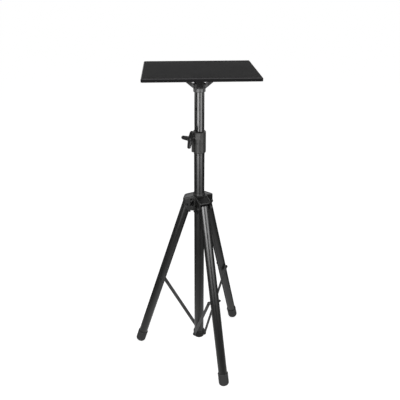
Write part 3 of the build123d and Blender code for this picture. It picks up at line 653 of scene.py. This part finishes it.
class STAND_OT_rims(bpy.types.Operator):
    """Roll the rims of the rubber feet, cap the clamp knob and ring the column under the collar"""

    bl_idname = "stand.rims"
    bl_label = "Rims, cap and ring"

    def execute(self, context):
        sizes = context.scene.stand_trim
        for number in LEG_NUMBERS:
            pivot, down = leg_line(number)
            places = along_and_out(f"foot_{number}", pivot, down)
            mouth = min(along for along, _ in places)
            radius = max(out for _, out in places)
            shape = bead(radius - RIM_SINK_SHARE * sizes.rim_thickness, sizes.rim_thickness)
            centre = pivot + (mouth + sizes.rim_drop) * down
            add_trim(context, f"foot_rim_{number}", shape, "foot_rubber", f"leg_{number}", centre, down)
        pivot, axis = joint_line("knob_turn")
        cap = dished_cap(sizes.knob_cap_radius, sizes.knob_cap_height)
        places = along_and_out("knob_wing", pivot, axis)
        hub = KNOB_FACE_SHARE * max(out for _, out in places)
        face = max(along for along, out in places if out < hub)
        add_trim(context, "knob_cap", cap, "knob_plastic", "clamp_knob", pivot + face * axis, axis)
        low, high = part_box("column_tube")
        ring = bead((high.x - low.x) / 2, sizes.guide_ring_thickness)
        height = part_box("height_collar")[0].z - sizes.guide_ring_drop
        up = Vector((0.0, 0.0, 1.0))
        add_trim(context, "guide_ring", ring, "moulded_plastic", "pole", height * up, up)
        return {"FINISHED"}


def add_camera(context, stage):
    """A camera at the picture's own viewpoint."""
    data = bpy.data.cameras.new("camera")
    data.sensor_width = SENSOR_WIDTH
    data.lens = stage.lens
    camera = bpy.data.objects.new("camera", data)
    context.scene.collection.objects.link(camera)
    level = math.cos(stage.pitch)
    forward = Vector((math.sin(stage.yaw) * level, math.cos(stage.yaw) * level, -math.sin(stage.pitch)))
    side = Vector((math.cos(stage.yaw), -math.sin(stage.yaw), 0.0))
    above = side.cross(forward)
    right = side * math.cos(stage.roll) + above * math.sin(stage.roll)
    up = above * math.cos(stage.roll) - side * math.sin(stage.roll)
    turn = Matrix((right, up, -forward)).transposed().to_4x4()
    camera.matrix_world = Matrix.Translation(stage.eye) @ turn
    context.scene.camera = camera


def add_panel(context, name, place, aim, size, radiance):
    """A soft panel lamp that faces a point, and that the eye doesn't see."""
    data = bpy.data.lights.new(name, "AREA")
    data.shape = "RECTANGLE"
    data.size, data.size_y = size
    data.energy = radiance * math.pi * size[0] * size[1]
    lamp = bpy.data.objects.new(name, data)
    context.scene.collection.objects.link(lamp)
    lamp.location = place
    lamp.rotation_euler = (Vector(aim) - Vector(place)).to_track_quat("-Z", "Y").to_euler()
    lamp.visible_camera = False


def add_side_panel(context, stage, name, azimuth, low, high, radiance):
    """An upright panel beside the stand, between two heights, that faces the column."""
    far = stage.panel_distance
    middle = (low + high) / 2
    place = (far * math.cos(azimuth), far * math.sin(azimuth), middle)
    width = 2 * far * math.tan(stage.panel_span / 2)
    add_panel(context, name, place, (0.0, 0.0, middle), (width, high - low), radiance)


def seen_straight(wire):
    """1 for rays that the eye, a gloss or a glass sees, and 0 for rays that only carry light."""
    eye = wire.node("ShaderNodeLightPath", {}, {}, "Is Camera Ray")
    gloss = wire.node("ShaderNodeLightPath", {}, {}, "Is Glossy Ray")
    through = wire.node("ShaderNodeLightPath", {}, {}, "Is Transmission Ray")
    return wire.maths("MINIMUM", eye + gloss + through, 1.0)


def floor_finish(ambient):
    """A white floor that stays white to the eye and still takes the stand's shadow."""
    material, wire = new_finish("white floor")
    paint = wire.node("ShaderNodeBsdfDiffuse", {}, {"Color": rgba(WHITE, FLOOR_PAINT)})
    shaded = wire.node("ShaderNodeBsdfDiffuse", {}, {"Color": rgba(WHITE, FLOOR_SHADED)})
    missing = 1.0 - FLOOR_SHADED * ambient
    glow = wire.node("ShaderNodeEmission", {}, {"Color": rgba(WHITE), "Strength": missing})
    lit = wire.node("ShaderNodeAddShader", {}, {0: shaded, 1: glow})
    surface = wire.node("ShaderNodeMixShader", {}, {0: seen_straight(wire), 1: paint, 2: lit})
    wire.node("ShaderNodeOutputMaterial", {}, {"Surface": surface})
    return material


def add_set_piece(context, name, shape, material):
    """A piece of the stage, from a finished bmesh."""
    mesh = bpy.data.meshes.new(name)
    shape.to_mesh(mesh)
    shape.free()
    mesh.materials.append(material)
    piece = bpy.data.objects.new(name, mesh)
    context.scene.collection.objects.link(piece)
    return piece


def add_floor(context, ambient):
    """A wide flat floor."""
    shape = bmesh.new()
    bmesh.ops.create_grid(shape, x_segments=1, y_segments=1, size=FLOOR_REACH)
    add_set_piece(context, "floor", shape, floor_finish(ambient))


def close_card(wire, colour):
    """Makes a card's material show one colour, whatever the light."""
    card = wire.node("ShaderNodeEmission", {}, {"Color": colour, "Strength": 1.0})
    wire.node("ShaderNodeOutputMaterial", {}, {"Surface": card})


def black_card(level):
    """The finish of a dark card, even all over."""
    material, wire = new_finish("black flag")
    close_card(wire, rgba(WHITE, level))
    return material


def grey_card(near, far):
    """The finish of a card that goes from one level at the stand to another away from it."""
    material, wire = new_finish("grey flag")
    away = wire.node("ShaderNodeVectorMath", {"operation": "LENGTH"}, {0: on_piece(wire)}, "Value")
    close_card(wire, shades(away.between(*FRONT_FADE), WHITE, near, far))
    return material


def disc(radius, border, height):
    """A level card round the stand at a height: all of a disc, or what lies behind a border in y."""
    shape = bmesh.new()
    start = -math.pi / 2 if border is None else math.asin(border / radius)
    turns = [start + (math.pi - 2 * start) * k / ROUND_STEPS for k in range(ROUND_STEPS)]
    if border is not None:
        turns.append(math.pi - start)
    shape.faces.new([shape.verts.new((radius * math.cos(a), radius * math.sin(a), height)) for a in turns])
    return shape


def half_wall(radius, height, front):
    """An upright card round the front or the back half of the stand."""
    shape = bmesh.new()
    turns = [math.pi * k / WALL_STEPS + (math.pi if front else 0.0) for k in range(WALL_STEPS + 1)]
    feet = [shape.verts.new((radius * math.cos(a), radius * math.sin(a), 0.0)) for a in turns]
    heads = [shape.verts.new((radius * math.cos(a), radius * math.sin(a), height)) for a in turns]
    for k in range(WALL_STEPS):
        shape.faces.new((feet[k], feet[k + 1], heads[k + 1], heads[k]))
    return shape


def add_flags(context, stage):
    """Cards on the floor, round and over the stand, seen only in its gloss, that keep its edges dark."""
    grey = grey_card(stage.front_near, stage.front_far)
    black = black_card(stage.flag_level)
    for name, shape, material in (
        ("front flag", disc(stage.flag_radius, None, FLAG_LIFT), grey),
        ("back flag", disc(stage.flag_radius, stage.back_border, 2 * FLAG_LIFT), black),
        ("front wall flag", half_wall(stage.flag_radius, stage.flag_height, True), black),
        ("back wall flag", half_wall(stage.flag_radius, stage.back_height, False), black),
        ("overhead flag", disc(stage.overhead_radius, None, stage.overhead_height), black),
    ):
        flag = add_set_piece(context, name, shape, material)
        flag.visible_camera = False
        flag.visible_diffuse = False
        flag.visible_transmission = False
        flag.visible_shadow = False


def add_sky(context, ambient):
    """An even white surround."""
    world = bpy.data.worlds.new("white surround")
    world.use_nodes = True
    world.node_tree.nodes.clear()
    wire = Wire(world.node_tree)
    strength = ambient + (1.0 - ambient) * seen_straight(wire)
    sky = wire.node("ShaderNodeBackground", {}, {"Color": rgba(WHITE), "Strength": strength})
    wire.node("ShaderNodeOutputWorld", {}, {"Surface": sky})
    context.scene.world = world


class STAND_OT_stage(bpy.types.Operator):
    """Set the floor, the lamps and the camera"""

    bl_idname = "stand.stage"
    bl_label = "Stage"

    def execute(self, context):
        stage = context.scene.stand_stage
        add_floor(context, stage.ambient)
        add_sky(context, stage.ambient)
        add_flags(context, stage)
        foot, waist, head = stage.panel_foot, stage.panel_waist, stage.panel_head
        for side, azimuth, share in (
            ("left", stage.left_azimuth, 1.0),
            ("right", stage.right_azimuth, stage.right_share),
        ):
            bright = share * stage.panel_radiance
            dim = stage.low_share * bright
            add_side_panel(context, stage, side + " panel", azimuth, waist, head, bright)
            add_side_panel(context, stage, side + " low panel", azimuth, foot, waist, dim)
        square = (stage.top_size, stage.top_size)
        add_panel(context, "top panel", stage.top_place, stage.top_aim, square, stage.top_radiance)
        add_camera(context, stage)
        context.scene.view_settings.view_transform = "Standard"
        return {"FINISHED"}


OPERATORS = (
    STAND_OT_tubes, STAND_OT_tray, STAND_OT_mouldings, STAND_OT_knobs, STAND_OT_struts, STAND_OT_feet,
    STAND_OT_washers, STAND_OT_rims, STAND_OT_stage,
)


class STAND_PT_panel(bpy.types.Panel):
    """Lists the steps that dress the stand"""

    bl_idname = "STAND_PT_panel"
    bl_label = "Projector stand"
    bl_space_type = "VIEW_3D"
    bl_region_type = "UI"
    bl_category = "Stand"

    def draw(self, context):
        for settings in (context.scene.stand_look, context.scene.stand_trim, context.scene.stand_stage):
            for name in settings.bl_rna.properties.keys():
                if name not in ("rna_type", "name"):
                    self.layout.prop(settings, name)
        for operator in OPERATORS:
            self.layout.operator(operator.bl_idname)


CLASSES = (StandLook, StandTrim, StandStage, *OPERATORS, STAND_PT_panel)


def register():
    for cls in CLASSES:
        bpy.utils.register_class(cls)
    bpy.types.Scene.stand_look = bpy.props.PointerProperty(type=StandLook)
    bpy.types.Scene.stand_trim = bpy.props.PointerProperty(type=StandTrim)
    bpy.types.Scene.stand_stage = bpy.props.PointerProperty(type=StandStage)


def unregister():
    del bpy.types.Scene.stand_stage
    del bpy.types.Scene.stand_trim
    del bpy.types.Scene.stand_look
    for cls in reversed(CLASSES):
        bpy.utils.unregister_class(cls)


def main():
    register()
    bpy.ops.stand.tubes()
    bpy.ops.stand.tray()
    bpy.ops.stand.mouldings()
    bpy.ops.stand.knobs()
    bpy.ops.stand.struts()
    bpy.ops.stand.feet()
    bpy.ops.stand.washers()
    bpy.ops.stand.rims()
    bpy.ops.stand.stage()


if __name__ == "__main__":
    main()
